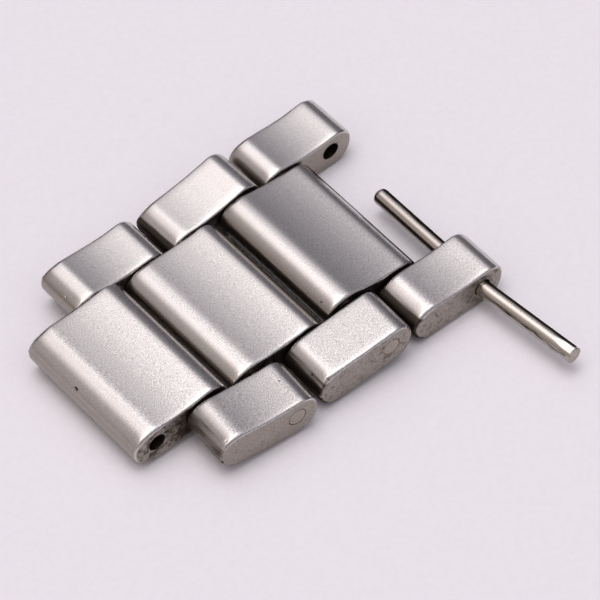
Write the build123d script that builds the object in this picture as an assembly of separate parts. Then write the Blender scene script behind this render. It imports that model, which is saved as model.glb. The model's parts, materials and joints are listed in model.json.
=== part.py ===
from build123d import *
import os
from math import radians, sin, tan

# A section of steel watch bracelet: three centre links between two rows of outer links.
# X runs along the chain, Y across it towards the far row, Z up. Lengths in millimetres.
# The origin is the middle of the underside of the second centre link, which lies level.

# Links
pin_spacing = 4.0          # between neighbouring pins along the chain
link_gap = 0.42            # between two links of one row, end to end
thickness = 3.0
top_round = 1.25           # radius that rolls the top over into each end
bottom_round = 1.6         # radius that rolls the underside up into each end
centre_width = 10.85
outer_width = 3.7
edge_bevel = 0.1           # bevel round both side faces of every link

# Pins
pin_radius = 0.56
pin_clearance = 0.08       # radial play of a pin in a bore that it turns or slides in
axis_lift = 0.15           # height of the pin axes above mid thickness
pressed_depth = 2.6        # how deep a fixed pin is pressed into an outer link
blind_end_gap = 0.1        # empty bottom of a blind hole past the end of its pin
pin_recess = 0.05          # how far a seated pin's near end lies below the outer face
far_recess = 0.25          # the same at its far end, where a tool pushes it out
pin_bevel = 0.08           # bevel round a flat pin end
tip_round = 0.35           # rounding of a removable pin's leading end

# The third removable pin, half drawn out and slightly bent
drawn_length = 8.05        # how far it has been pulled from its seat
bend_angle = 5.8           # degrees, towards +X
bend_radius = 6.0
bend_clearance = 0.1       # straight length left outside the link before the bend

# Play of the links between and along the pins
tight_side_gap = 0.04      # from a centre link's side to the outer links of the first pair
side_gap = 0.14            # the same at the second pair
loose_side_gap = 0.2       # and at the third
pair_push_shares = (0, 0, 0.6)    # how far each pair sits along its pins, in loose side gaps
centre_push_shares = (0, 0, 0.4)  # the same for each centre link
near_turns = (-4.2, -1.7, 0.0)    # degrees that the near links are askew, seen from above
far_turns = (0.0, 1.2, 0.6)       # the same for the far links

cut_overrun = 1.0          # how far a cutting tool runs past the face that it leaves by

# Bends of the lying chain, in degrees from straight. Each row: body, the body that carries
# it, the pin between them, the side of the carrier that it is on, and its bend upwards.
rest_bends = (
    ("link_pair_1", "centre_link_2", 2, -1, 4.2),
    ("centre_link_1", "link_pair_1", 1, -1, -8.0),
    ("link_pair_2", "centre_link_2", 3, 1, 5.3),
    ("centre_link_3", "link_pair_2", 4, 1, -12.3),
    ("link_pair_3", "centre_link_3", 5, 1, 5.1),
)

side_gaps = (tight_side_gap, side_gap, loose_side_gap)
pair_pushes = [share * loose_side_gap for share in pair_push_shares]
centre_pushes = [share * loose_side_gap for share in centre_push_shares]
link_count = len(side_gaps)
link_length = 2 * pin_spacing - link_gap
axis_height = thickness / 2 + axis_lift
bore_radius = pin_radius + pin_clearance
pins_before_origin = link_count - 1 / 2
pin_length = centre_width + 2 * (side_gap + outer_width) - pin_recess - far_recess


def pin_x(number):
    """Place along the straight chain of a pin, counted from 0 at the left end."""
    return (number - pins_before_origin) * pin_spacing


def stand_off(pair, turn):
    """Distance from a centre link's side to the inner face of an outer link, at its middle."""
    return side_gaps[pair] + link_length / 2 * sin(radians(abs(turn)))


def outer_middle(pair, side):
    """Y of an outer link's middle. side is 1 for the far row and -1 for the near one."""
    turn = far_turns[pair] if side > 0 else near_turns[pair]
    return pair_pushes[pair] + side * (centre_width / 2 + stand_off(pair, turn) + outer_width / 2)


def near_face(pair):
    """Y of a pair's near outer face, where its removable pin comes through."""
    from_middle = pin_spacing / 2
    return outer_middle(pair, -1) - outer_width / 2 + from_middle * tan(radians(near_turns[pair]))


def along_y(x, y_start, y_end, radius):
    """A round bar along Y on the pin axis at x."""
    bar = Rot(90, 0, 0) * Cylinder(radius, abs(y_end - y_start))
    return Pos(x, (y_start + y_end) / 2, axis_height) * bar


def link_blank(x, y, width, turn):
    """A link with no holes: rounded at both ends and bevelled round both side faces."""
    outline = Rectangle(link_length, thickness)
    outline = fillet(outline.vertices().group_by(Axis.Y)[-1], top_round)
    outline = fillet(outline.vertices().group_by(Axis.Y)[0], bottom_round)
    blank = extrude(Plane.XZ * outline, width / 2, both=True)
    blank = chamfer(blank.faces().filter_by(Axis.Y).edges(), edge_bevel)
    return Pos(x, y, thickness / 2) * Rot(0, 0, turn) * blank


def centre_link(index):
    """A middle-row link, with a through bore for each of its two pins."""
    first_pin = 2 * index
    y = centre_pushes[index]
    reach = centre_width / 2 + cut_overrun
    middle = (pin_x(first_pin) + pin_x(first_pin + 1)) / 2
    link = link_blank(middle, y, centre_width, 0)
    for number in (first_pin, first_pin + 1):
        link -= along_y(pin_x(number), y - reach, y + reach, bore_radius)
    return link


def outer_link(pair, side):
    """An outer-row link: a blind hole for the fixed pin, a through bore for the removable one."""
    fixed_number = 2 * pair + 1
    turn = far_turns[pair] if side > 0 else near_turns[pair]
    middle = (pin_x(fixed_number) + pin_x(fixed_number + 1)) / 2
    y = outer_middle(pair, side)
    link = link_blank(middle, y, outer_width, turn)
    blind_bottom = pressed_end(pair, side) + side * blind_end_gap
    link -= along_y(pin_x(fixed_number), pair_pushes[pair], blind_bottom, pin_radius)
    reach = outer_width / 2 + cut_overrun
    link -= along_y(pin_x(fixed_number + 1), y - reach, y + reach, bore_radius)
    return link


def pressed_end(pair, side):
    """Y of one end of a pair's fixed pin."""
    return pair_pushes[pair] + side * (centre_width / 2 + side_gaps[pair] + pressed_depth)


def fixed_pin(pair):
    """A plain pin pressed into the blind holes of both outer links of a pair."""
    pin = along_y(pin_x(2 * pair + 1), pressed_end(pair, -1), pressed_end(pair, 1), pin_radius)
    return chamfer(pin.faces().filter_by(Axis.Y).edges(), pin_bevel)


def finish_removable(pin):
    """Round the leading end of a removable pin and bevel the end left at the near face."""
    ends = pin.edges().filter_by(GeomType.CIRCLE).sort_by(Axis.Y)
    pin = fillet(ends[-1], tip_round)
    ends = pin.edges().filter_by(GeomType.CIRCLE).sort_by(Axis.Y)
    return chamfer(ends[0], pin_bevel)


def seated_pin(pair):
    """A removable pin home in its bores, its near end just under the outer face."""
    near_end = near_face(pair) + pin_recess
    return finish_removable(along_y(pin_x(2 * pair + 2), near_end, near_end + pin_length, pin_radius))


def drawn_pin(pair):
    """A removable pin pulled part of the way out, and bent where it leaves the link."""
    far_end = near_face(pair) + pin_recess + pin_length - drawn_length
    bend_start = near_face(pair) - bend_clearance
    tail = pin_length - (far_end - bend_start) - bend_radius * radians(bend_angle)
    inside = Line((0, far_end), (0, bend_start))
    bend = JernArc(inside @ 1, inside % 1, bend_radius, bend_angle)
    outside = Line(bend @ 1, bend @ 1 + (bend % 1) * tail)
    path = Wire([inside, bend, outside])
    pin = sweep(Plane(inside @ 0, z_dir=inside % 0) * Circle(pin_radius), path=path)
    return Pos(pin_x(2 * pair + 2), 0, axis_height) * finish_removable(pin)


def turned_about(number, angle):
    """A turn about one pin of the straight chain."""
    return Pos(pin_x(number), 0, axis_height) * Rot(0, angle, 0) * Pos(-pin_x(number), 0, -axis_height)


def body_places():
    """Where each body of the lying chain goes, from its place in the straight chain."""
    places = {"centre_link_2": Location()}
    for body, carrier, number, side, bend in rest_bends:
        places[body] = places[carrier] * turned_about(number, -side * bend)
    return places


def make_nodes():
    """Every piece in its place in the lying chain, by name."""
    places = body_places()
    nodes = {}
    for index in range(link_count):
        name = f"centre_link_{index + 1}"
        pair_place = places[f"link_pair_{index + 1}"]
        nodes[name] = places[name] * centre_link(index)
        nodes[f"outer_link_far_{index + 1}"] = pair_place * outer_link(index, 1)
        nodes[f"outer_link_near_{index + 1}"] = pair_place * outer_link(index, -1)
        nodes[f"fixed_pin_{index + 1}"] = pair_place * fixed_pin(index)
        is_last = index == link_count - 1
        pin = drawn_pin(index) if is_last else seated_pin(index)
        nodes[f"removable_pin_{index + 1}"] = pair_place * pin
    return nodes


def print_axes():
    """Where the pin axes of the lying chain are, and how far each body is tilted."""
    places = body_places()
    for index in range(link_count):
        for body, numbers in ((f"centre_link_{index + 1}", (2 * index, 2 * index + 1)),
                              (f"link_pair_{index + 1}", (2 * index + 1, 2 * index + 2))):
            for number in numbers:
                at = (places[body] * Pos(pin_x(number), 0, axis_height)).position
                print(f"{body} pin {number}: x {at.X:.4f} z {at.Z:.4f}")


os.makedirs("parts", exist_ok=True)
for name, shape in make_nodes().items():
    export_step(shape, f"parts/{name}.step")
print_axes()
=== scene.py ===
# The looks of a worn section of steel watch bracelet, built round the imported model. Metres.
# Each link and pin of the model is replaced by a finer mesh of the same size in the same place.
# Near is towards -Y and far towards +Y, left is towards -X and right towards +X.

import json
import math

import bmesh
import bpy
import numpy as np
from mathutils import Matrix, Vector, noise
from mathutils.geometry import delaunay_2d_cdt


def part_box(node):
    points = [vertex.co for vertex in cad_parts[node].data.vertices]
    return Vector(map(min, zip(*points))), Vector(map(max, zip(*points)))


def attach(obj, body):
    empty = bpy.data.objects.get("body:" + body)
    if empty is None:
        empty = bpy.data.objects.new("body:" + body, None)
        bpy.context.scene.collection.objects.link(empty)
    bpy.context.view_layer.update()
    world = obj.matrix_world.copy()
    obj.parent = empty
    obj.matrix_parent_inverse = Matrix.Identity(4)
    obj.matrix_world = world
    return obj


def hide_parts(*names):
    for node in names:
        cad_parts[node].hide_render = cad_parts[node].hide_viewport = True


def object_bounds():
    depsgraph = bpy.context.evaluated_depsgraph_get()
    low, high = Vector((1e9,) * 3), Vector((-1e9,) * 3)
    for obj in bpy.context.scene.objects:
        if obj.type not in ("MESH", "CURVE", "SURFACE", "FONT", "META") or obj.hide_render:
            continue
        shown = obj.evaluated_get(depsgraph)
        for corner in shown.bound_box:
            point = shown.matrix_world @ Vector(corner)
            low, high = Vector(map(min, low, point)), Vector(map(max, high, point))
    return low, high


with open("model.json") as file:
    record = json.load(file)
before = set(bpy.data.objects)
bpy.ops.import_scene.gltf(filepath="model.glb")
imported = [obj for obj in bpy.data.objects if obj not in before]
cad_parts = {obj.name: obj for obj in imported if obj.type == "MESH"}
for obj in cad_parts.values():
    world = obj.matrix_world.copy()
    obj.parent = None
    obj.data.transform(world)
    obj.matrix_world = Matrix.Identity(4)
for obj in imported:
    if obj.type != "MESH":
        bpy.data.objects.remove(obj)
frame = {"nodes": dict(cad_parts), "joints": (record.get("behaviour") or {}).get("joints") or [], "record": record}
cad_low, cad_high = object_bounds()

MM = 0.001
link_numbers = (1, 2, 3)       # of the links in each row, and of the pins of each kind

# Links: the sizes that the frame's boxes don't give
top_round = 1.25 * MM          # radius that rolls the top over into each end
bottom_round = 1.6 * MM        # radius that rolls the underside up into each end
rim_round = 0.01 * MM          # rounding of a bore's rim
blind_gap = 0.1 * MM           # empty bottom of a blind hole past the end of its pin
drill_point = 0.25 * MM        # depth of the cone that a drill leaves at its bottom
side_facing = 0.9              # y of a direction, above which a face belongs to a side face

# Wear of the edges round the side faces
edge_wear = 0.18 * MM          # radius of those edges
edge_wear_spread = 0.25        # how much it changes along an edge, as a share of it
edge_waves = 0.9               # how often it changes, in waves per millimetre
side_seed = 5.0                # sets the waves of a link's far edge apart from its near edge's
outer_link_seed = 7            # and those of each outer link from the next one's
corner_wear = 0.12 * MM        # what is added to the radius at the left end of a top
corner_reach = 0.9 * MM
side_roll = 0.025 * MM         # how far the surface rolls off towards the side faces
side_roll_width = 0.7 * MM

# Wear of the tops: each is hollow between a ridge at its left end and a shoulder at its right
hollow_half = 2.1 * MM                # half the length over which its slope changes
hollow_end = (2.3 * MM, 3.0 * MM)     # where that slope starts to fade, and where it ends
ridge_reach = 0.42 * MM
far_ridge_reach = 0.28 * MM           # the same in the far row
shoulder = (2.7 * MM, 0.3 * MM)       # its place and reach
wear_floor = (0.15, 0.85)             # shares of the half height between which it fades in

# Tarnish, grime and painted shade of the links. How far their surface has turned down goes from -1 on a top
# to 0 at the very end of a link and 1 beneath it.
end_tarnish = 1.0              # of a link's ends, where the side faces have 1
tarnish_turn = (-0.97, -0.25)  # how far turned down, where it starts and where it is full
end_grime_and_shade_turn = (-0.99, -0.6)     # the same for the grime of a link's ends, which also paints the shade down in the gaps between links
edge_rub = 0.8                 # how much of their tarnish is rubbed off the side edges
rubbed_turn = (40, 22)         # where, in degrees round an edge, and its reach
edge_dirt_and_dark_reflection = {-1: (55, 90), 1: (12, 45)}    # degrees round a near and a far edge, start and full; a far edge takes its side's grime early, which paints a dark reflection along it
corner_grime_and_shade = 0.35            # grime and painted shade added to the right part of the centre links' side faces, behind the outer links' ends
corner_grime_and_shade_reach = (-1.1 * MM, 0.6 * MM)    # where it starts and is full, from their middle
mouth_grime = 0.3              # share of a side's grime that is added round its bores
mouth_reach = 0.45 * MM
rim_grime_and_shade = 1.0                # grime and painted shade of the bores' rims
bore_grime_and_shade = 1.4               # and of their insides
bore_grime_and_shade_start = 0.15 * MM   # how far inside that is full

# How each link has worn. Columns: degrees that the hollow slopes at its ends, degrees that the
# top leans to the left, the ridge's distance from the top's middle in millimetres and its turn in
# degrees, the shoulder's turn, tarnish of the top, and grime on the left end, right end, near side
# and far side. The grime on the ends also paints shade in the gaps between links, and that on the
# far side a dark reflection along the far edge. Tarnish and grime go from 0 to 1, and where grime
# passes 1 it also spreads.
link_wear_and_shade = {
    "centre_link_1": (7.1, -1.4, 2.38, 21.0, 8.0, 0.04, 0.1, 0.3, 0.45, 0.45),
    "centre_link_2": (6.9, 0.3, 2.4, 15.0, 9.0, 0.0, 0.1, 0.7, 0.6, 0.6),
    "centre_link_3": (6.5, -0.9, 2.5, 17.0, 8.0, 0.0, 0.1, 1.2, 0.6, 0.6),
    "outer_link_far_1": (8.4, 2.4, 2.54, 19.0, 5.0, 0.0, 0.2, 0.5, 0.5, 0.28),
    "outer_link_near_1": (6.4, 1.3, 2.62, 12.0, 8.0, 0.05, 0.5, 0.5, 0.2, 0.6),
    "outer_link_far_2": (6.8, 2.8, 2.54, 13.0, 4.0, 0.0, 0.9, 0.5, 0.5, 0.24),
    "outer_link_near_2": (0.4, -0.3, 2.76, 7.0, 0.0, 0.0, 0.8, 0.65, 0.33, 0.6),
    "outer_link_far_3": (8.6, 0.6, 2.56, 16.0, 8.0, 0.0, 0.2, 0.3, 0.2, 0.22),
    "outer_link_near_3": (6.8, 0.8, 2.58, 20.0, 4.0, 0.0, 1.0, 0.4, 0.36, 0.6),
}

# Small dents and specks of dirt, in millimetres. Columns: place round the outline from the top's
# middle, place across, reach of both, depth, and how dark.
link_marks = {
    "centre_link_1": (
        (-3.6, 0.75, 0.085, 0.13, 0.08, 3.0),
        (-0.2, 0.91, 0.04, 0.06, 0.01, 0.8),
        (2.38, 2.05, 0.03, 0.12, 0.01, 0.8),
        (2.22, 1.7, 0.03, 0.12, 0.01, 0.8),
    ),
    "centre_link_3": ((-3.8, -4.37, 0.05, 0.07, 0.04, 2.2),),
    "outer_link_far_1": (
        (-3.76, -0.55, 0.05, 0.06, 0.03, 1.0),
        (-0.76, 0.01, 0.04, 0.06, 0.01, 0.7),
    ),
    "outer_link_near_1": (
        (2.24, 0.37, 0.05, 0.06, 0.02, 1.0),
        (-3.25, -1.55, 0.12, 0.06, 0.04, 1.0),
        (-5.3, -1.8, 0.08, 0.08, 0.03, 1.0),
    ),
    "outer_link_near_2": (
        (1.18, -0.97, 0.04, 0.05, 0.01, 0.8),
        (-3.0, -1.72, 0.1, 0.05, 0.04, 1.0),
        (-3.5, -0.67, 0.05, 0.05, 0.02, 0.9),
    ),
}
least_mark = 0.01              # share of a mark's strength below which it is left out
mark_steps = (-1.8, -1, -0.5, 0, 0.5, 1, 1.8)    # where points go round it, in its reaches

# How finely the links are divided
top_spacing = 0.16 * MM        # round the outline, in the middle of a top
worn_spacing = 0.07 * MM       # where a top is most worn
worn_zone = (1.7 * MM, 3.4 * MM)    # which is between these places, from its middle
round_spacing = 0.1 * MM       # down the ends
bottom_spacing = 0.3 * MM
row_spacing = 0.3 * MM         # across the links, and along the pins
end_row_spacing = 0.1 * MM     # across them near the side faces
face_spacing = 0.16 * MM       # in the side faces
least_spacing = 0.015 * MM     # points closer than this are made one
hold = 0.02 * MM               # width of the narrow rows that keep flat faces flat
profile_steps = 500
edge_steps = 7
bore_steps = 48
rim_steps = 4
join_distance = 1e-6           # millimetres at which a side face takes two places as one
hole_share = 0.98              # share of a bore's radius within which a side face is open

# Pins
pin_end_round = 0.03 * MM      # rounding of a flat end
tip_round = 0.35 * MM          # of a removable pin's leading end
head_radius = 0.62 * MM        # near ends of the seated pins, spread a little by a punch
head_length = 0.12 * MM
head_taper = 0.1 * MM
head_shifts = (0.016 * MM, 0.0)    # how far to the right each has been pushed
bend_angle = 5.8               # degrees, of the drawn pin
bend_radius = 6.0 * MM
bend_clearance = 0.1 * MM      # straight length outside the link before that bend
crimp_depth = 0.1              # flat on its near end, as a share of its radius
crimp_start = (0.016 * MM, 0.08 * MM)    # where the flat starts, and where it is full
crimp_end = (0.54 * MM, 1.8 * MM)        # where it starts to fade, and where it ends

# How finely the pins are divided
pin_steps = 64
pin_end_steps = 6
bend_steps = 8
drawn_row_spacing = 0.08 * MM  # along the drawn pin
first_row_gap = 0.05 * MM      # from the near end to the first plain row
near_cap_shares = (0.02, 0.35, 0.7)    # rings in a pin's flat ends, in shares of the end's radius
far_cap_shares = (0.6, 0.25)
way_step = 0.05 * MM           # to both sides of a place, to find the pin's direction there

# Tarnish, grime and a painted dark reflection of the drawn pin. Each way round it is in degrees, from the right
# and over the top, with a reach.
drawn_tarnish = 0.3
left_tarnish = 0.5             # what its left side adds
left_tarnish_way = (185, 60)
upper_dark_reflection = 2.4              # of a dark reflection painted along its upper right
upper_dark_reflection_way = (38, 32)
left_grime = 0.58              # of the left side of its near part
left_grime_way = (162, 24)
left_grime_end = (5 * MM, 8 * MM)      # where that starts to fade, and where it ends
crimp_way = (101.0, 30)        # where the flat on its near end is
crimp_tarnish = -0.2           # what that flat adds
crimp_clean = 0.6              # share of the grime and of the painted dark reflection that is gone from it
crimp_clean_end = (1.08 * MM, 1.8 * MM)    # where both start to fade, and where they end
tip_darkening_start = (0.04 * MM, 0.4 * MM)    # where the grime and the painted dark reflection start and are full, from the near end

# Colours: red, green, blue and 1. Each steel has a bare, a tarnished and a grimy one; the grimy one also paints
# shade in the gaps and bores, and dark reflections.
link_colours = ((0.655, 0.645, 0.625, 1), (0.32, 0.286, 0.249, 1), (0.07, 0.058, 0.048, 1))
pin_colours = ((0.68, 0.655, 0.61, 1), (0.34, 0.3, 0.25, 1), (0.05, 0.045, 0.035, 1))
floor_colour = (0.845, 0.857, 0.9, 1)
fleck_colour = (0.79, 0.8, 0.845, 1)
lamp_colour = (1.0, 0.937, 0.965, 1)
left_colour = (1.0, 0.885, 0.87, 1)
sky_colour = (1.0, 0.935, 1.06, 1)

# Steel
link_roughness = 0.24
pin_roughness = 0.14
tarnish_roughness = 0.08       # what full tarnish adds
grime_roughness = 0.2          # and full grime
haze_roughness = 0.06          # range of an uneven haze
haze_size = 0.4 * MM
grime_tint = 0.4               # specular tint of grime, where bare steel has 1
cloud_size = 1.2 * MM          # of the clouds of stronger and weaker tarnish
cloud_share = 0.3              # range of what they add to it
patch_size = 0.3 * MM          # of the patches of grime
patch_share = 1.2              # range of what they add to it
patch_edge = (0.32, 0.8)       # levels between which a patch fades in
link_streak = 12.0             # how many times longer both are across the chain
pin_streak = 4.0
grain_size = 0.075 * MM
link_grain_depth = 0.0025 * MM
pin_grain_depth = 0.001 * MM
grain_way = (0.454, 0.891, 0.0)          # direction in which the grain gets finer
grain_reach = (-11 * MM, 13 * MM)        # places along that direction between which it does
grain_levels = (1.8, 0.6)                # its strength at both
rubbed_grain = 0.35                      # share of it that is left on the ridges
ridge_facing = (-0.3, -0.08)             # x of a direction, on a ridge and off it

# Floor and camera
floor_half = 0.6               # half the side of the floor
floor_roughness = 0.9
floor_gloss = 0.1
fleck_size = 0.4 * MM
floor_grain_size = 0.6 * MM
floor_grain_depth = 0.02 * MM
camera_azimuth = -40.372       # degrees from straight in front, where less is further left
camera_elevation = 51.761
camera_distance = 294.3 * MM
camera_lens = 273.2            # millimetres, like the sensor
camera_sensor = 36
camera_clip = (0.01, 10)
aim_point = Vector((5.039 * MM, -1.567 * MM, 0))

# Light. Levels are those of the sky, where 1 is white. Its places are directions from the part.
lamp_level = 1.22              # of a broad lamp overhead
lamp_middle = 0.08             # x at which it is brightest
lamp_width = 0.46              # along X
lamp_reach = (0.45, 0.95)      # distance from the zenith along Y at which it fades, and ends
lamp_colour_level = 0.8        # how bright the lamp is where its colour is full
core_level = 5.8               # of the brightest part of it
core_middle = (-0.17, 0.1)
core_width = (0.34, 0.21)
base_level = 0.07              # of the rest of the sky
left_level = 0.4               # what the sky at the left adds
left_reach = (-0.4, -0.8)      # x at which that starts, and is full
left_colour_reach = (0.05, -0.35)      # the same for its colour
front_level = 0.2              # what the sky low down in front adds
front_reach = (-0.6, -0.9)     # y at which that starts, and is full


def smooth(value, start, end):
    """A smooth step, from 0 at start to 1 at end."""
    share = np.clip((value - start) / (end - start), 0, 1)
    return share * share * (3 - 2 * share)


def bell(value, middle, reach):
    """A bell curve, 1 at its middle."""
    return np.exp(-((value - middle) / reach) ** 2)


# Where the pins of the lying chain are, from the frame

def joint_point(name):
    joint = next(j for j in frame["joints"] if j["name"] == name)
    return Vector((joint["pos_m"][0], 0, joint["pos_m"][2]))


def mount(name):
    return next(m for m in frame["record"]["mounts"] if m["name"] == name)


def mount_point(name):
    place = mount(name)["pos_m"]
    return Vector((place[0], 0, place[2]))


def pin_radius(name):
    low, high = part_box(name)
    return (high.z - low.z) / 2


pin_axes = [
    mount_point("centre_link_bore"),
    joint_point("centre_link_1_hinge"),
    joint_point("link_pair_1_hinge"),
    joint_point("link_pair_2_hinge"),
    joint_point("centre_link_3_hinge"),
    joint_point("link_pair_3_hinge"),
    mount_point("end_link_bore"),
]
bore_radius = mount("centre_link_bore")["dims"]["r_mm"] * MM
blind_radius = pin_radius("fixed_pin_1")


def across_direction(node):
    """The direction of a link's side faces, which play lets stand slightly askew."""
    total = Vector()
    for face in frame["nodes"][node].data.polygons:
        if abs(face.normal.y) > side_facing:
            total += face.normal * math.copysign(face.area, face.normal.y)
    return total.normalized()


class LinkFrame:
    """A link's own axes: x along the chain, y across it, z up, from the link's middle."""

    def __init__(self, node, left_pin):
        chain = (pin_axes[left_pin + 1] - pin_axes[left_pin]).normalized()
        self.up = Vector((-chain.z, 0, chain.x))
        self.across = across_direction(node)
        self.along = self.across.cross(self.up).normalized()
        axes = np.array([self.along, self.across, self.up])
        points = np.array([v.co for v in frame["nodes"][node].data.vertices])
        local = points @ axes.T
        low, high = local.min(0), local.max(0)
        self.half = (high - low) / 2
        self.origin = Vector((low + high) / 2 @ axes)
        self.matrix = Matrix.Translation(self.origin) @ Matrix(axes.T.tolist()).to_4x4()

    def to_local(self, point):
        return self.matrix.inverted() @ point

    def pin_line(self, pin):
        """A pin axis in the link's axes: where it crosses y = 0, and how far it moves per y."""
        start = self.to_local(pin_axes[pin])
        end = self.to_local(pin_axes[pin] + Vector((0, 1, 0)))
        slope = (end - start) / (end.y - start.y)
        return start - slope * start.y, slope

    def near_face(self):
        """A point of the near side face, and that face's direction."""
        return self.origin - self.across * self.half[1], self.across


# Mesh building

class Mesh:
    """Points and faces of one piece. Each point has its tarnish and its grime, which also carries painted shade.
    """

    def __init__(self):
        self.points = []
        self.faces = []
        self.tarnish = []
        self.grime_and_shade = []

    def add(self, point, tarnish=0.0, grime_and_shade=0.0):
        self.points.append(Vector(point))
        self.tarnish.append(tarnish)
        self.grime_and_shade.append(grime_and_shade)
        return len(self.points) - 1

    def ring(self, points, tarnish=0.0, grime_and_shade=0.0):
        return [self.add(p, tarnish, grime_and_shade) for p in points]

    def bridge(self, a, b):
        """Quads between two closed rings of the same length."""
        for i in range(len(a)):
            j = (i + 1) % len(a)
            self.faces.append((a[i], a[j], b[j], b[i]))

    def bridge_all(self, rings):
        for a, b in zip(rings, rings[1:]):
            self.bridge(a, b)

    def fan(self, ring, tip):
        """Triangles from a closed ring to one point."""
        for i in range(len(ring)):
            self.faces.append((ring[i], ring[(i + 1) % len(ring)], tip))


def finish_piece(mesh, matrix, body, material, replaced):
    """Turn gathered geometry into a piece that rides on its body in place of its node."""
    name = f"{replaced}_steel"
    data = bpy.data.meshes.new(name)
    data.from_pydata([matrix @ p for p in mesh.points], [], mesh.faces)
    for layer, values in (("tarnish", mesh.tarnish), ("grime_and_shade", mesh.grime_and_shade)):
        data.attributes.new(layer, "FLOAT", "POINT").data.foreach_set("value", values)
    shell = bmesh.new()
    shell.from_mesh(data)
    bmesh.ops.recalc_face_normals(shell, faces=shell.faces)
    shell.to_mesh(data)
    shell.free()
    data.shade_smooth()
    data.materials.append(material)
    piece = bpy.data.objects.new(name, data)
    bpy.context.scene.collection.objects.link(piece)
    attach(piece, body)
    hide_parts(replaced)


def thinned(places):
    """Sorted places with those left out that nearly meet the one before."""
    kept = []
    for place in sorted(places):
        if not kept or place - kept[-1] > least_spacing:
            kept.append(place)
    return kept


def spaced(start, end, spacing):
    """Even places from start to end, about a spacing apart."""
    count = max(2, int(round(abs(end - start) / spacing)) + 1)
    return list(np.linspace(start, end, count))


def round_marks(marks, place, reach):
    """Where points go to show the marks. Place and reach are the numbers of their columns."""
    return [(mark[place] + step * mark[reach]) * MM for mark in marks for step in mark_steps]


# Links

def outline_point(s, half_length, half_height):
    """Place and outward direction at arc length s round a link's side, from the top's middle."""
    side = math.copysign(1, s)
    flat = half_length - top_round
    arc = top_round * math.pi / 2
    straight = 2 * half_height - top_round - bottom_round
    low_arc = bottom_round * math.pi / 2
    s = abs(s)
    if s < flat:
        return side * s, half_height, 0.0, 1.0
    s -= flat
    if s < arc:
        angle = s / top_round
        x = flat + top_round * math.sin(angle)
        z = half_height - top_round * (1 - math.cos(angle))
        return side * x, z, side * math.sin(angle), math.cos(angle)
    s -= arc
    if s < straight:
        return side * half_length, half_height - top_round - s, side, 0.0
    s -= straight
    if s < low_arc:
        angle = s / bottom_round
        x = half_length - bottom_round * (1 - math.cos(angle))
        z = bottom_round - half_height - bottom_round * math.sin(angle)
        return side * x, z, side * math.cos(angle), -math.sin(angle)
    s -= low_arc
    return side * (half_length - bottom_round - s), -half_height, 0.0, -1.0


def outline_places(half_length, half_height, marks):
    """Arc lengths of the outline's points, closest together where the top is most worn."""
    flat = half_length - top_round
    round_end = flat + top_round * math.pi / 2 + 2 * half_height - top_round - bottom_round
    low_end = round_end + bottom_round * math.pi / 2
    end = low_end + half_length - bottom_round
    half = spaced(0, worn_zone[0], top_spacing)
    half += spaced(*worn_zone, worn_spacing)
    half += spaced(worn_zone[1], low_end, round_spacing)
    half += spaced(low_end, end, bottom_spacing)
    both = half + [-s for s in half if 0 < s < end - least_spacing]
    return thinned(both + round_marks(marks, 0, 2))


def row_places(inner, marks):
    """Where the rows of points across a link are, closer together near its side faces."""
    close = inner - 2 * side_roll_width
    rows = spaced(-close, close, row_spacing) if close > 0 else []
    close = max(0.0, close)
    rows += spaced(-inner, -close, end_row_spacing) + spaced(close, inner, end_row_spacing)
    return thinned(rows + [y for y in round_marks(marks, 1, 3) if abs(y) < inner])


def top_profile(slope, lean, ridge, ridge_turn, reach, shoulder_turn):
    """Heights that wear has left along a top, and where. Slope, lean and turns in degrees."""
    x = np.linspace(-worn_zone[1], worn_zone[1], profile_steps)
    turn = slope * np.clip(x / hollow_half, -1, 1) + lean
    turn *= 1 - smooth(np.abs(x), *hollow_end)
    turn += ridge_turn * bell(x, -ridge, reach)
    turn -= shoulder_turn * bell(x, *shoulder)
    heights = np.cumsum(np.tan(np.radians(turn))) * (x[1] - x[0])
    return x, heights - heights.max()


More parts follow.
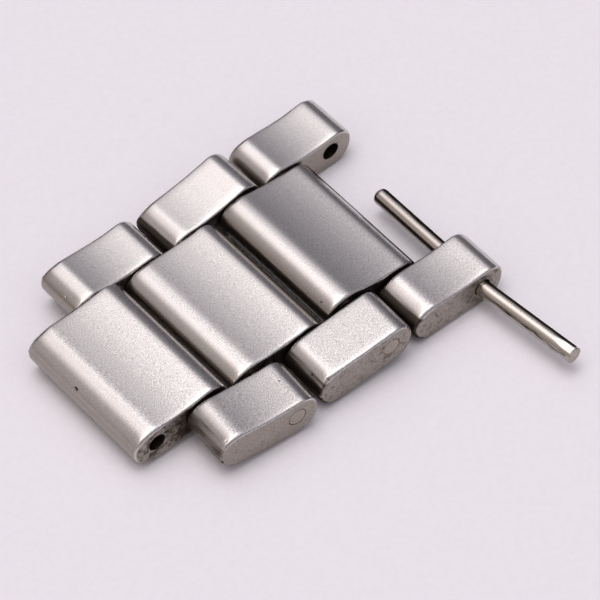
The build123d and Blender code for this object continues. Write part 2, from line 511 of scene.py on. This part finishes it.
class LinkShape:
    """The worn outside of one link: where each of its points is and how dull and dirty it is."""

    def __init__(self, name, link, seed):
        slope, lean, ridge, turn, shoulder_turn, self.tarnish, *grime_and_shade = link_wear_and_shade[name]
        self.left, self.right, near, far = grime_and_shade
        self.side_grime_and_edge_reflection = {-1: near, 1: far}
        self.corner_grime_and_shade = corner_grime_and_shade if "centre" in name else 0.0
        self.half_length, self.half_width, self.half_height = link.half
        self.marks = link_marks.get(name, ())
        self.seed = seed
        self.ridge = ridge * MM
        reach = far_ridge_reach if "far" in name else ridge_reach
        self.profile = top_profile(slope, lean, self.ridge, turn, reach, shoulder_turn)
        self.places = outline_places(self.half_length, self.half_height, self.marks)
        self.stations = [outline_point(s, self.half_length, self.half_height) for s in self.places]
        self.indexes = range(len(self.stations))
        widest_edge = edge_wear * (1 + edge_wear_spread) + corner_wear
        self.rows = row_places(self.half_width - widest_edge - hold, self.marks)

    def edge(self, index, side):
        """Radius of a worn side edge at one of the outline's places."""
        x, z = self.stations[index][:2]
        spot = Vector((x / MM * edge_waves, z / MM * edge_waves, self.seed + side * side_seed))
        corner = corner_wear * bell(self.places[index], -self.ridge, corner_reach)
        return edge_wear * (1 + edge_wear_spread * noise.noise(spot)) + corner

    def point(self, index, y, inset):
        """The worn surface at one of the outline's places and at y, or a point inset from it."""
        x, z, dx, dz = self.stations[index]
        share = smooth(z / self.half_height, *wear_floor)
        worn = float(np.interp(x, *self.profile)) * share
        past = max(0.0, 1 - (self.half_width - abs(y)) / side_roll_width)
        sunk = side_roll * past ** 2 + inset
        for s, across, reach, reach_across, depth, _ in self.marks:
            sunk += depth * MM * self.near_mark(index, y, s, across, reach, reach_across)
        return Vector((x - dx * sunk, y, z - dz * sunk + worn))

    def near_mark(self, index, y, s, across, reach, reach_across):
        """How much of a mark is felt there, from 0 to 1."""
        share = bell(self.places[index] / MM, s, reach) * bell(y / MM, across, reach_across)
        return float(share) if share > least_mark else 0.0

    def looks(self, index, y):
        """Tarnish and grime: the tops are rubbed clean, and the ends get duller further down, and darker with
        grime and painted shade where they go down into the gaps between links.
        """
        dx, dz = self.stations[index][2:]
        tarnish = self.tarnish + (end_tarnish - self.tarnish) * float(smooth(-dz, *tarnish_turn))
        end = self.left if dx < 0 else self.right
        grime_and_shade = end * float(smooth(-dz, *end_grime_and_shade_turn))
        for s, across, reach, reach_across, _, dark in self.marks:
            grime_and_shade += dark * self.near_mark(index, y, s, across, reach, reach_across)
        return tarnish, grime_and_shade


def link_mesh(shape, link, bores):
    """A link from its shape. Each bore: its pin, its radius, its two ends, and its blind side."""
    mesh = Mesh()
    rings = []
    for y in shape.rows:
        rings.append([mesh.add(shape.point(i, y, 0), *shape.looks(i, y)) for i in shape.indexes])
    mesh.bridge_all(rings)
    outer = {
        -1: add_edge(mesh, shape, -1, rings[0]),
        1: add_edge(mesh, shape, 1, rings[-1]),
    }
    mouths = {-1: [], 1: []}
    for bore in bores:
        add_bore(mesh, link, mouths, shape.side_grime_and_edge_reflection, *bore)
    for side in (-1, 1):
        fill_face(mesh, shape, side, outer[side], mouths[side])
    return mesh


def add_edge(mesh, shape, side, last):
    """A worn side edge, from a link's last row of points. Gives the ring where its face starts."""
    radii = [shape.edge(i, side) for i in shape.indexes]
    dirt_and_shade = shape.side_grime_and_edge_reflection[side]
    for turn in np.linspace(0, 90, edge_steps + 1):
        out, back = 1 - math.sin(math.radians(turn)), 1 - math.cos(math.radians(turn))
        rubbed = 1 - edge_rub * float(bell(turn, *rubbed_turn))
        share = float(smooth(turn, *edge_dirt_and_dark_reflection[side]))
        # On a far edge the side's grime comes in early, which paints a dark reflection along that edge.
        ring = []
        for i in shape.indexes:
            y = side * (shape.half_width - radii[i] * out)
            tarnish, grime_and_shade = shape.looks(i, y)
            tarnish = tarnish * rubbed * (1 - share) + share
            grime_and_shade = grime_and_shade * (1 - share) + dirt_and_shade * share
            ring.append(mesh.add(shape.point(i, y, radii[i] * back), tarnish, grime_and_shade))
        mesh.bridge(last, ring)
        last = ring
    y = side * shape.half_width
    ring = mesh.ring([shape.point(i, y, radii[i] + hold) for i in shape.indexes], 1.0, dirt_and_shade)
    mesh.bridge(last, ring)
    return ring


def add_bore(mesh, link, mouths, side_grime_and_edge_reflection, pin, radius, y_start, y_end, blind):
    """The wall of a bore. Its open ends go into mouths, as a ring, a middle and a radius."""
    start, slope = link.pin_line(pin)

    def circle(y, r, grime_and_shade):
        middle = start + slope * y
        angles = np.linspace(0, 2 * math.pi, bore_steps, endpoint=False)
        points = [Vector((middle.x + r * math.cos(a), y, middle.z + r * math.sin(a))) for a in angles]
        return mesh.ring(points, 1.0, grime_and_shade)

    # The rims and insides of the bores are darkened with grime and painted shade.
    ends = {}
    for side, y in ((-1, y_start), (1, y_end)):
        if blind == side:
            ends[side] = circle(y, radius, bore_grime_and_shade)
            tip = start + slope * (y + side * drill_point)
            mesh.fan(ends[side], mesh.add(tip, 1.0, bore_grime_and_shade))
            continue
        mouth = circle(y, radius + rim_round, side_grime_and_edge_reflection[side])
        mouths[side].append((mouth, start + slope * y, radius + rim_round))
        rings = [mouth]
        for turn in np.radians(np.linspace(0, 90, rim_steps + 1)):
            back = rim_round * (1 - math.cos(turn))
            rings.append(circle(y - side * back, radius + rim_round * (1 - math.sin(turn)), rim_grime_and_shade))
        rings.append(circle(y - side * bore_grime_and_shade_start, radius, bore_grime_and_shade))
        mesh.bridge_all(rings)
        ends[side] = rings[-1]
    mesh.bridge(ends[-1], ends[1])


def inside(spot, ring):
    """Whether a spot lies within a closed ring of places, by counting the sides beyond it."""
    count = 0
    for a, b in zip(ring, ring[1:] + ring[:1]):
        if (a.y > spot.y) != (b.y > spot.y):
            crossing = a.x + (b.x - a.x) * (spot.y - a.y) / (b.y - a.y)
            count += crossing > spot.x
    return count % 2 == 1


def face_spots(border, holes):
    """A grid of spots within a border, clear of it and of the holes. In millimetres."""
    spacing = face_spacing / MM
    low_x, high_x = min(p.x for p in border), max(p.x for p in border)
    low_z, high_z = min(p.y for p in border), max(p.y for p in border)
    spots = []
    for x in np.arange(low_x, high_x, spacing):
        for z in np.arange(low_z, high_z, spacing):
            spot = Vector((x, z))
            margin = min((spot - p).length for p in border)
            clear = all((spot - m).length > r + spacing / 2 for m, r in holes)
            if margin > spacing / 2 and clear and inside(spot, border):
                spots.append(spot)
    return spots


def fill_face(mesh, shape, side, outer, mouths):
    """A flat side face between its outer ring and the mouths of its bores. In millimetres."""
    rings = [outer] + [m[0] for m in mouths]
    index = [v for ring in rings for v in ring]
    places = [Vector((mesh.points[v].x, mesh.points[v].z)) / MM for v in index]
    edges = []
    for ring in rings:
        first = len(edges)
        edges += [(first + i, first + (i + 1) % len(ring)) for i in range(len(ring))]
    border = places[:len(outer)]
    holes = [(Vector((m.x, m.z)) / MM, r / MM) for _, m, r in mouths]
    places += face_spots(border, holes)
    made, _, faces, sources, _, _ = delaunay_2d_cdt(places, edges, [], 0, join_distance)

    vertex = []
    for place, source in zip(made, sources):
        known = [index[s] for s in source if s < len(index)]
        if known:
            vertex.append(known[0])
            continue
        grime_and_shade = shape.side_grime_and_edge_reflection[side]
        # Behind the outer links' ends the right part of a centre link's face gets grime and painted shade.
        dirt_and_shade = grime_and_shade + shape.corner_grime_and_shade * float(smooth(place.x * MM, *corner_grime_and_shade_reach))
        for middle, radius in holes:
            near = float(bell((place - middle).length, radius, mouth_reach / MM))
            dirt_and_shade += grime_and_shade * mouth_grime * near
        spot = (place.x * MM, side * shape.half_width, place.y * MM)
        vertex.append(mesh.add(spot, 1.0, dirt_and_shade))
    for face in faces:
        middle = sum((made[i] for i in face), Vector((0, 0))) / len(face)
        solid = all((middle - m).length > r * hole_share for m, r in holes)
        if solid and inside(middle, border):
            mesh.faces.append(tuple(vertex[i] for i in face))


def build_centre_link(number):
    """A middle-row link, with a through bore for each of its two pins."""
    name = f"centre_link_{number}"
    left = 2 * (number - 1)
    link = LinkFrame(name, left)
    width = link.half[1]
    bores = [(pin, bore_radius, -width, width, 0) for pin in (left, left + 1)]
    mesh = link_mesh(LinkShape(name, link, number), link, bores)
    finish_piece(mesh, link.matrix, name, link_steel, name)


def build_outer_link(number, row, side):
    """An outer link, with a blind bore for its fixed pin and a through bore for the other one."""
    name = f"outer_link_{row}_{number}"
    left = 2 * number - 1
    link = LinkFrame(name, left)
    width = link.half[1]
    pin_low, pin_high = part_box(f"fixed_pin_{number}")
    pin_end = pin_high.y + blind_gap if side > 0 else pin_low.y - blind_gap
    bottom = link.to_local(Vector((pin_axes[left].x, pin_end, pin_axes[left].z))).y
    reach = (-width, bottom) if side > 0 else (bottom, width)
    bores = [(left, blind_radius, *reach, side), (left + 1, bore_radius, -width, width, 0)]
    mesh = link_mesh(LinkShape(name, link, number * outer_link_seed + side), link, bores)
    finish_piece(mesh, link.matrix, f"link_pair_{number}", link_steel, name)


def build_links():
    for number in link_numbers:
        build_centre_link(number)
        for row, side in (("far", 1), ("near", -1)):
            build_outer_link(number, row, side)


# Pins

class Path:
    """A pin's middle line, from its near end to its far end."""

    def __init__(self, points):
        self.points = np.array(points)
        steps = np.linalg.norm(np.diff(self.points, axis=0), axis=1)
        self.places = np.concatenate([[0], np.cumsum(steps)])
        self.length = float(self.places[-1])

    def at(self, place):
        """The point at a length along the line, and the line's direction there."""
        ends = [
            [np.interp(p, self.places, self.points[:, k]) for k in range(3)]
            for p in (place, max(0.0, place - way_step), min(self.length, place + way_step))
        ]
        middle, back, ahead = (Vector(e) for e in ends)
        return middle, (ahead - back).normalized()


def end_round(reach):
    """A pin end's rounding: how far each of its rings is from the end and from the pin's side."""
    turns = np.radians(np.linspace(0, 90, pin_end_steps + 1))
    return [(reach * (1 - math.cos(t)), reach * (1 - math.sin(t))) for t in turns]


def pin_rings(length, radius, far_round, spacing, spread):
    """Places along a pin and its radius at each. A pin that has been spread is wider at first."""
    near = head_radius if spread else radius
    rings = [(0.0, near * share) for share in near_cap_shares]
    rings += [(depth, near - inset) for depth, inset in end_round(pin_end_round)]
    if spread:
        rings += [(head_length, near), (head_length + head_taper, radius)]
    start = rings[-1][0] + first_row_gap
    rings += [(place, radius) for place in spaced(start, length - far_round, spacing)[:-1]]
    rings += [(length - depth, radius - inset) for depth, inset in end_round(far_round)[::-1]]
    rings += [(length, (radius - far_round) * share) for share in far_cap_shares]
    return rings


def pin_mesh(path, radius, far_round, spacing, face=None, shift=0.0, crimped=False):
    """A round bar. Where a face is given, its near end is spread and lies flush with that face."""
    mesh = Mesh()
    spread = face is not None
    made = []
    for place, size in pin_rings(path.length, radius, far_round, spacing, spread):
        middle, way = path.at(place)
        right = (Vector((1, 0, 0)) - way * way.x).normalized()
        up = right.cross(way)
        if up.z < 0:
            up.negate()
        ring = []
        for angle in np.linspace(0, 2 * math.pi, pin_steps, endpoint=False):
            out = (right * math.cos(angle) + up * math.sin(angle)) * size
            tarnish, grime_and_shade = 0.0, 0.0
            if crimped:
                out = crimp(out, right, up, place, radius)
                tarnish, grime_and_shade = drawn_pin_looks(place, math.degrees(angle))
            point = middle + out
            if spread and place < head_length + head_taper:
                point = flush(point, place, way, right * shift, face)
            if place < pin_end_round / 2:
                tarnish = 1.0
            ring.append(mesh.add(point, tarnish, grime_and_shade))
        made.append(ring)
    mesh.bridge_all(made)
    mesh.faces.append(tuple(made[0]))
    mesh.faces.append(tuple(made[-1]))
    return mesh


def flush(point, place, way, shift, face):
    """Move a point of a spread near end sideways, and so far along that the end meets the face."""
    share = 1 - place / (head_length + head_taper)
    point = point + shift * share
    depth = (point - face[0]).dot(face[1])
    return point + way * (place - depth) * share / way.dot(face[1])


def crimp(out, right, up, place, radius):
    """Press a flat onto the drawn pin's near end."""
    turn = math.radians(crimp_way[0])
    way = right * math.cos(turn) + up * math.sin(turn)
    window = smooth(place, *crimp_start) * (1 - smooth(place, *crimp_end))
    limit = radius * (1 - crimp_depth * float(window))
    return out - way * max(0.0, out.dot(way) - limit)


def drawn_pin_looks(place, angle):
    """Tarnish, grime and a painted dark reflection of the drawn pin, by place along it and degrees round it."""
    flat = float(bell(angle, *crimp_way) * (1 - smooth(place, *crimp_clean_end)))
    tarnish = drawn_tarnish + left_tarnish * float(bell(angle, *left_tarnish_way))
    near = 1 - float(smooth(place, *left_grime_end))
    left = left_grime * float(bell(angle, *left_grime_way)) * near
    # Its upper right gets a painted dark reflection, and the left side of its near part gets grime.
    grime_and_shade = upper_dark_reflection * float(bell(angle, *upper_dark_reflection_way)) + left
    grime_and_shade *= (1 - crimp_clean * flat) * float(smooth(place, *tip_darkening_start))
    return min(1.0, tarnish + crimp_tarnish * flat), grime_and_shade


def straight_path(name, face=None):
    """The line of a straight pin. Where a face is given, its near end is on that face."""
    low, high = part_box(name)
    x, y, z = (low.x + high.x) / 2, low.y, (low.z + high.z) / 2
    if face is not None:
        point, way = face
        y = point.y - ((x - point.x) * way.x + (z - point.z) * way.z) / way.y
    return Path([(x, y, z), (x, high.y, z)])


def drawn_path(name):
    """The middle line of the bent pin: straight in its link, an arc, and straight again."""
    low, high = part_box(name)
    start = pin_axes[-1]
    chain = (pin_axes[-1] - pin_axes[-2]).normalized()
    bend = math.radians(bend_angle)
    bend_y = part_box(f"outer_link_near_{link_numbers[-1]}")[0].y - bend_clearance
    points = [Vector((start.x, y, start.z)) for y in (high.y, bend_y)]
    for turn in np.linspace(0, bend, bend_steps + 1)[1:]:
        place = Vector((0, bend_y - bend_radius * math.sin(turn), 0))
        points.append(start + chain * bend_radius * (1 - math.cos(turn)) + place)
    way = chain * math.sin(bend) - Vector((0, math.cos(bend), 0))
    reach = (points[-1].y - low.y - pin_radius(name) * math.sin(bend)) / math.cos(bend)
    points.append(points[-1] + way * reach)
    return Path(points[::-1])


def build_pins():
    for number in link_numbers:
        name = f"fixed_pin_{number}"
        mesh = pin_mesh(straight_path(name), pin_radius(name), pin_end_round, row_spacing)
        finish_piece(mesh, Matrix(), f"link_pair_{number}", pin_steel, name)
        name = f"removable_pin_{number}"
        radius = pin_radius(name)
        if number == link_numbers[-1]:
            mesh = pin_mesh(drawn_path(name), radius, tip_round, drawn_row_spacing, crimped=True)
        else:
            face = LinkFrame(f"outer_link_near_{number}", 2 * number - 1).near_face()
            path = straight_path(name, face)
            shift = head_shifts[number - 1]
            mesh = pin_mesh(path, radius, tip_round, row_spacing, face, shift)
        finish_piece(mesh, Matrix(), name, pin_steel, name)


# Materials

def feed(tree, socket, value):
    """Give a node's input the output of another node, or a number or colour."""
    if hasattr(value, "links"):
        tree.links.new(value, socket)
    else:
        socket.default_value = value


def math_node(tree, operation, *values, clamp=False):
    made = tree.nodes.new("ShaderNodeMath")
    made.operation = operation
    made.use_clamp = clamp
    for socket, value in zip(made.inputs, values):
        feed(tree, socket, value)
    return made.outputs[0]


def ramp_node(tree, value, start, end, low, high):
    """A smooth step of a value, from low at start to high at end."""
    made = tree.nodes.new("ShaderNodeMapRange")
    made.interpolation_type = "SMOOTHSTEP"
    names = ("Value", "From Min", "From Max", "To Min", "To Max")
    for name, given in zip(names, (value, start, end, low, high)):
        feed(tree, made.inputs[name], given)
    return made.outputs["Result"]


def bell_node(tree, value, middle, width):
    """A bell curve of a value, 1 at its middle."""
    share = math_node(tree, "MULTIPLY_ADD", value, 1 / width, -middle / width)
    square = math_node(tree, "MULTIPLY", share, share)
    return math_node(tree, "EXPONENT", math_node(tree, "MULTIPLY", square, -1.0))


def noise_node(tree, place, size, detail, stretch=1.0):
    """Noise with patches of a size in metres, drawn out across the chain by a factor."""
    scale = tree.nodes.new("ShaderNodeVectorMath")
    scale.operation = "MULTIPLY"
    scale.inputs[1].default_value = (1, 1 / stretch, 1)
    tree.links.new(place, scale.inputs[0])
    made = tree.nodes.new("ShaderNodeTexNoise")
    made.inputs["Scale"].default_value = 1 / size
    made.inputs["Detail"].default_value = detail
    tree.links.new(scale.outputs[0], made.inputs["Vector"])
    return made.outputs["Fac"]


def mix_node(tree, factor, a, b):
    made = tree.nodes.new("ShaderNodeMix")
    made.data_type = "RGBA"
    for name, value in (("Factor", factor), ("A", a), ("B", b)):
        feed(tree, made.inputs[name], value)
    return made.outputs["Result"]


def layer_node(tree, name):
    """A value that is stored on the points of the mesh."""
    made = tree.nodes.new("ShaderNodeAttribute")
    made.attribute_name = name
    return made.outputs["Fac"]


def axes_node(tree, output):
    """The three numbers of a texture coordinate."""
    made = tree.nodes.new("ShaderNodeSeparateXYZ")
    tree.links.new(tree.nodes.new("ShaderNodeTexCoord").outputs[output], made.inputs[0])
    return made.outputs


def grain_strength(tree, place):
    """The surface is coarsest at the near left end of the section."""
    along = tree.nodes.new("ShaderNodeVectorMath")
    along.operation = "DOT_PRODUCT"
    tree.links.new(place, along.inputs[0])
    along.inputs[1].default_value = grain_way
    return ramp_node(tree, along.outputs["Value"], *grain_reach, *grain_levels)


def rubbed_share(tree):
    """How much of the grain is left: the ridges and the left ends are rubbed smooth."""
    return ramp_node(tree, axes_node(tree, "Normal")["X"], *ridge_facing, rubbed_grain, 1.0)


def steel(name, colours, roughness, grain_depth, streak):
    """Bare steel that tarnish turns duller and browner, with grime in patches where it gathers, which also paints
    shade in gaps and bores, and dark reflections.
    """
    material = bpy.data.materials.new(name)
    material.use_nodes = True
    tree = material.node_tree
    shader = tree.nodes["Principled BSDF"]
    shader.inputs["Metallic"].default_value = 1.0
    place = tree.nodes.new("ShaderNodeTexCoord").outputs["Object"]
    tarnish = layer_node(tree, "tarnish")
    clouds = noise_node(tree, place, cloud_size, detail=4, stretch=streak)
    uneven = math_node(tree, "MULTIPLY_ADD", clouds, cloud_share, -cloud_share / 2)
    dull = math_node(tree, "ADD", tarnish, uneven, clamp=True)
    patches = noise_node(tree, place, patch_size, detail=5, stretch=streak)
    spread = math_node(tree, "MULTIPLY_ADD", patches, patch_share, -patch_share / 2)
    dirt_and_shade = math_node(tree, "ADD", layer_node(tree, "grime_and_shade"), spread)
    dirt_and_shade = ramp_node(tree, dirt_and_shade, *patch_edge, 0, 1)
    grain = noise_node(tree, place, grain_size, detail=2)

    bare, tarnished, grimy_and_shaded = colours
    # The grimy colour also paints shade in the gaps and bores, and dark reflections along the far edges and the
    # drawn pin.
    colour = mix_node(tree, dirt_and_shade, mix_node(tree, dull, bare, tarnished), grimy_and_shaded)
    strength = math_node(tree, "MULTIPLY", grain_strength(tree, place), rubbed_share(tree))
    lightness = math_node(tree, "SUBTRACT", grain, 0.5)
    lightness = math_node(tree, "MULTIPLY_ADD", lightness, strength, 1.0)
    speckled = tree.nodes.new("ShaderNodeVectorMath")
    speckled.operation = "SCALE"
    tree.links.new(colour, speckled.inputs[0])
    tree.links.new(lightness, speckled.inputs["Scale"])
    tree.links.new(speckled.outputs[0], shader.inputs["Base Color"])

    haze = noise_node(tree, place, haze_size, detail=3)
    rough = math_node(tree, "MULTIPLY_ADD", haze, haze_roughness, roughness - haze_roughness / 2)
    rough = math_node(tree, "MULTIPLY_ADD", tarnish, tarnish_roughness, rough)
    rough = math_node(tree, "MULTIPLY_ADD", dirt_and_shade, grime_roughness, rough)
    tree.links.new(rough, shader.inputs["Roughness"])
    tree.links.new(ramp_node(tree, dirt_and_shade, 0, 1, 1.0, grime_tint), shader.inputs["Specular Tint"])
    add_bump(tree, shader, grain, grain_depth)
    return material


def add_bump(tree, shader, height, depth):
    bump = tree.nodes.new("ShaderNodeBump")
    bump.inputs["Distance"].default_value = depth
    tree.links.new(height, bump.inputs["Height"])
    tree.links.new(bump.outputs["Normal"], shader.inputs["Normal"])


# Floor, light and camera

def build_floor():
    data = bpy.data.meshes.new("floor")
    x = floor_half
    corners = [(-x, -x, cad_low.z), (x, -x, cad_low.z), (x, x, cad_low.z), (-x, x, cad_low.z)]
    data.from_pydata(corners, [], [(0, 1, 2, 3)])
    floor = bpy.data.objects.new("floor", data)
    bpy.context.scene.collection.objects.link(floor)
    material = bpy.data.materials.new("pale_paper")
    material.use_nodes = True
    tree = material.node_tree
    shader = tree.nodes["Principled BSDF"]
    shader.inputs["Roughness"].default_value = floor_roughness
    shader.inputs["Specular IOR Level"].default_value = floor_gloss
    place = tree.nodes.new("ShaderNodeTexCoord").outputs["Object"]
    flecks = noise_node(tree, place, fleck_size, detail=3)
    tree.links.new(mix_node(tree, flecks, floor_colour, fleck_colour), shader.inputs["Base Color"])
    grain = noise_node(tree, place, floor_grain_size, detail=3)
    add_bump(tree, shader, grain, floor_grain_depth)
    data.materials.append(material)


def build_light():
    """One broad soft lamp overhead, and a dim sky that is brighter at the left and in front."""
    world = bpy.data.worlds.new("studio")
    bpy.context.scene.world = world
    world.use_nodes = True
    tree = world.node_tree
    background = tree.nodes["Background"]
    x, y, _ = axes_node(tree, "Generated")

    lamp = ramp_node(tree, math_node(tree, "ABSOLUTE", y), *lamp_reach, 1.0, 0.0)
    lamp = math_node(tree, "MULTIPLY", bell_node(tree, x, lamp_middle, lamp_width), lamp)
    core_x = bell_node(tree, x, core_middle[0], core_width[0])
    core_y = bell_node(tree, y, core_middle[1], core_width[1])
    core = math_node(tree, "MULTIPLY", core_x, core_y)
    left = ramp_node(tree, x, *left_reach, 0.0, left_level)
    front = ramp_node(tree, y, *front_reach, 0.0, front_level)
    level = math_node(tree, "MULTIPLY_ADD", lamp, lamp_level, math_node(tree, "ADD", left, front))
    level = math_node(tree, "MULTIPLY_ADD", core, core_level, level)
    tree.links.new(math_node(tree, "ADD", level, base_level), background.inputs["Strength"])

    share = ramp_node(tree, lamp, 0.0, lamp_colour_level, 0.0, 1.0)
    colour = mix_node(tree, share, sky_colour, lamp_colour)
    share = ramp_node(tree, x, *left_colour_reach, 0.0, 1.0)
    tree.links.new(mix_node(tree, share, colour, left_colour), background.inputs["Color"])


def build_camera():
    data = bpy.data.cameras.new("camera")
    data.lens = camera_lens
    data.sensor_width = camera_sensor
    data.clip_start, data.clip_end = camera_clip
    camera = bpy.data.objects.new("camera", data)
    bpy.context.scene.collection.objects.link(camera)
    azimuth, elevation = math.radians(camera_azimuth), math.radians(camera_elevation)
    back = Vector((
        math.sin(azimuth) * math.cos(elevation),
        -math.cos(azimuth) * math.cos(elevation),
        math.sin(elevation),
    ))
    camera.location = aim_point + back * camera_distance
    camera.rotation_mode = "QUATERNION"
    camera.rotation_quaternion = (-back).to_track_quat("-Z", "Y")
    bpy.context.scene.camera = camera


link_steel = steel("link_steel", link_colours, link_roughness, link_grain_depth, link_streak)
pin_steel = steel("pin_steel", pin_colours, pin_roughness, pin_grain_depth, pin_streak)
build_links()
build_pins()
build_floor()
build_light()
build_camera()
bpy.context.scene.view_settings.view_transform = "Standard"
